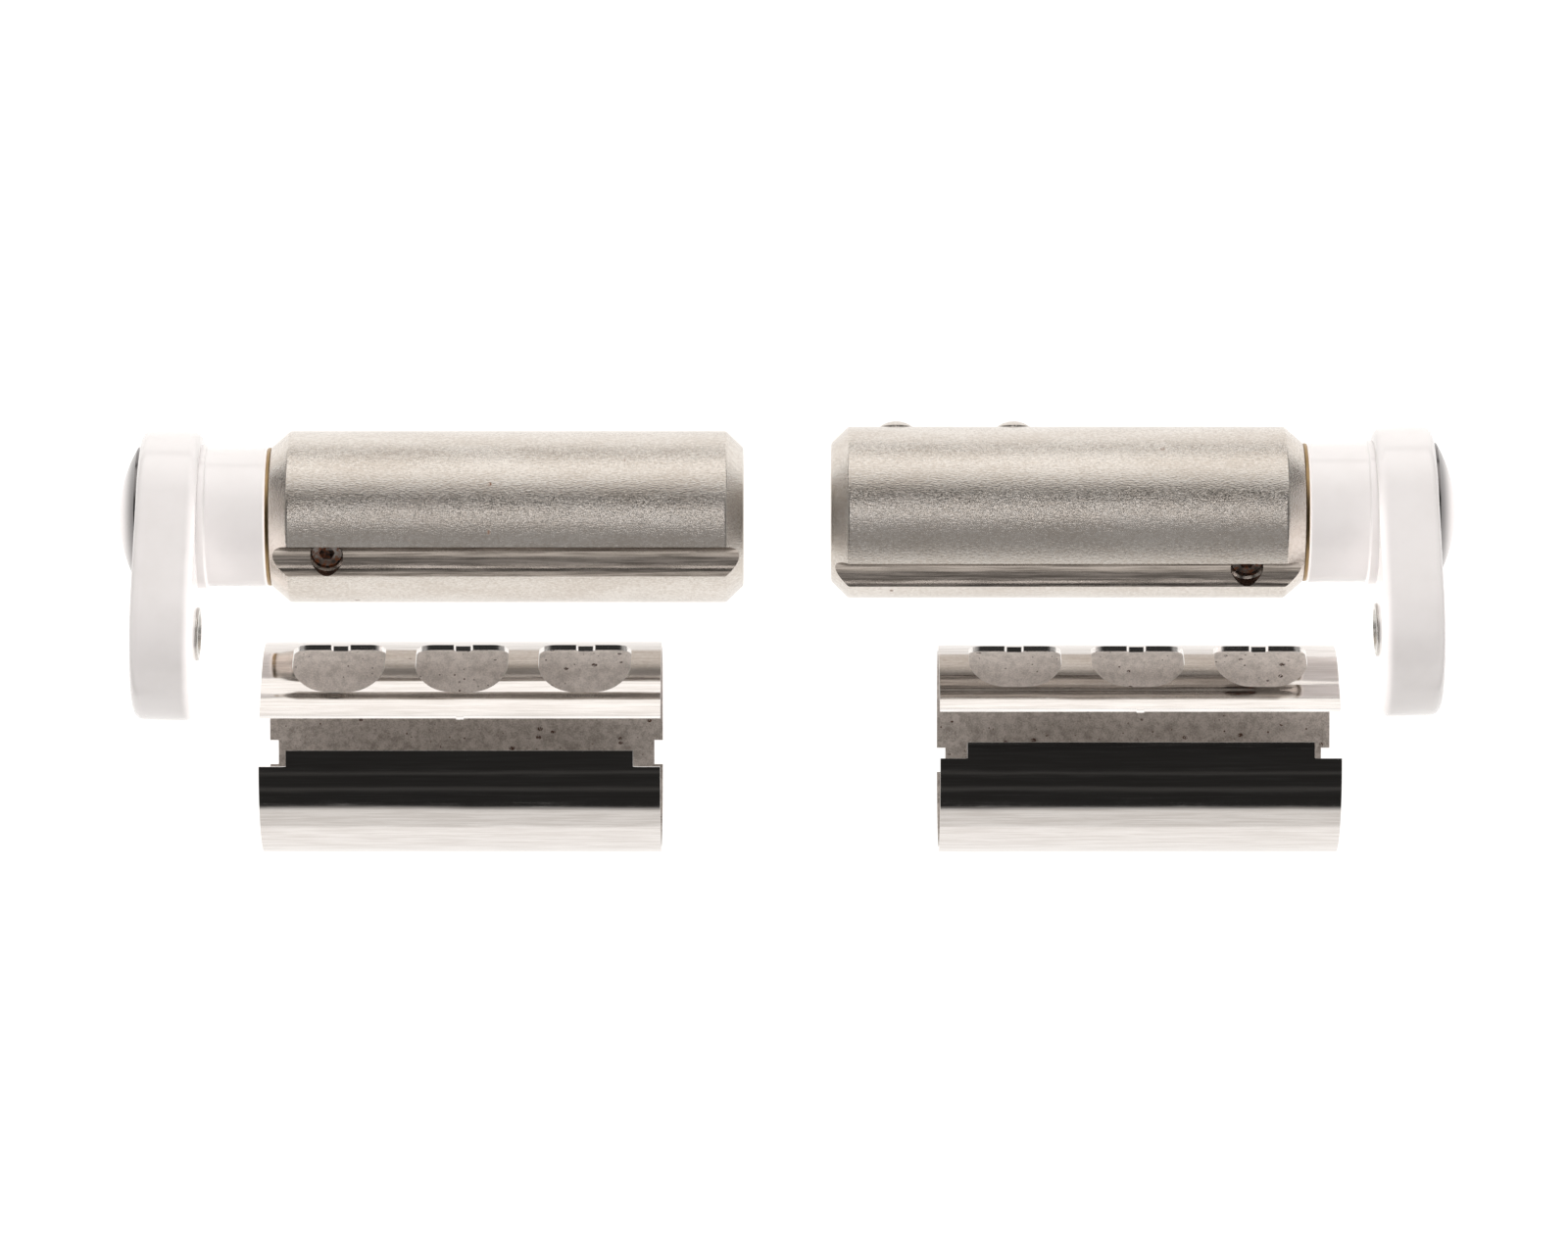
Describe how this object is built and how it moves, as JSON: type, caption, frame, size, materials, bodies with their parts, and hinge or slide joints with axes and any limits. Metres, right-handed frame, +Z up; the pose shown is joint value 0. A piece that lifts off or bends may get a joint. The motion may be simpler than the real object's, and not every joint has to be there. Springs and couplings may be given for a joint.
{
  "type": "door hinge",
  "caption": "Damped barrel door hinges, left and right handed, with swinging arms, keyed round barrels and loose split spring sleeves with windows.",
  "frame": {"origin": "the middle of the set's footprint, on the surface that it lies on", "axes": "+X along the hinge line towards the right hinge, +Y towards the barrels' back, +Z up"},
  "size_m": [0.1248, 0.0404, 0.0188],
  "materials": {
    "satin_nickel": "satin nickel plating over steel, fine grain along the barrel",
    "plug_steel": "turned steel",
    "rivet_steel": "nickel plated",
    "damper_resin": "dark moulded resin",
    "rotor_resin": "natural moulded resin",
    "bush_brass": "turned brass",
    "washer_brass": "thin rolled sheet",
    "seal_rubber": "moulded nitrile",
    "rusty_steel": "dark steel with rust",
    "white_arm": "glossy white, softly crowned",
    "insert_steel": "bright knurled insert",
    "cap_steel": "polished grey metal",
    "shaft_steel": "ground steel",
    "clip_steel": "blued spring steel",
    "bright_nickel": "bright nickel plated spring sheet"
  },
  "bodies": {
    "left_barrel_unit": {"left_barrel": "satin_nickel", "left_end_plug": "plug_steel", "left_rivets": "rivet_steel", "left_stator": "damper_resin", "left_front_bush": "bush_brass", "left_bush_seal": "seal_rubber", "left_shaft_seal": "seal_rubber", "left_retaining_screw": "rusty_steel", "left_thrust_washer": "washer_brass"},
    "left_arm_unit": {"left_arm": "white_arm", "left_arm_insert": "insert_steel", "left_domed_cap": "cap_steel", "left_shaft": "shaft_steel", "left_rotor": "rotor_resin", "left_retaining_clip": "clip_steel"},
    "right_barrel_unit": {"right_barrel": "satin_nickel", "right_end_plug": "plug_steel", "right_rivets": "rivet_steel", "right_stator": "damper_resin", "right_front_bush": "bush_brass", "right_bush_seal": "seal_rubber", "right_shaft_seal": "seal_rubber", "right_retaining_screw": "rusty_steel", "right_thrust_washer": "washer_brass"},
    "right_arm_unit": {"right_arm": "white_arm", "right_arm_insert": "insert_steel", "right_domed_cap": "cap_steel", "right_shaft": "shaft_steel", "right_rotor": "rotor_resin", "right_retaining_clip": "clip_steel"},
    "left_sleeve_unit": {"left_sleeve": "bright_nickel"},
    "right_sleeve_unit": {"right_sleeve": "bright_nickel"}
  },
  "joints": [
    {"name": "left_arm_swing", "type": "hinge", "parent": "left_barrel_unit", "child": "left_arm_unit", "pos_m": [-0.052, 0.0112, 0.008], "axis": [1, 0, 0], "range_deg": [-110, 0]},
    {"name": "right_arm_swing", "type": "hinge", "parent": "right_barrel_unit", "child": "right_arm_unit", "pos_m": [0.052, 0.01162, 0.008], "axis": [1, 0, 0], "range_deg": [-110, 0]},
    {"name": "right_hinge_place", "type": "slide", "parent": "left_barrel_unit", "child": "right_barrel_unit", "axis": [1, 0, 0], "range_m": [0, 0.06]},
    {"name": "left_sleeve_place", "type": "slide", "parent": "left_barrel_unit", "child": "left_sleeve_unit", "axis": [0, -1, 0], "range_m": [0, 0.03]},
    {"name": "right_sleeve_place", "type": "slide", "parent": "left_barrel_unit", "child": "right_sleeve_unit", "axis": [0, -1, 0], "range_m": [0, 0.03]}
  ]
}
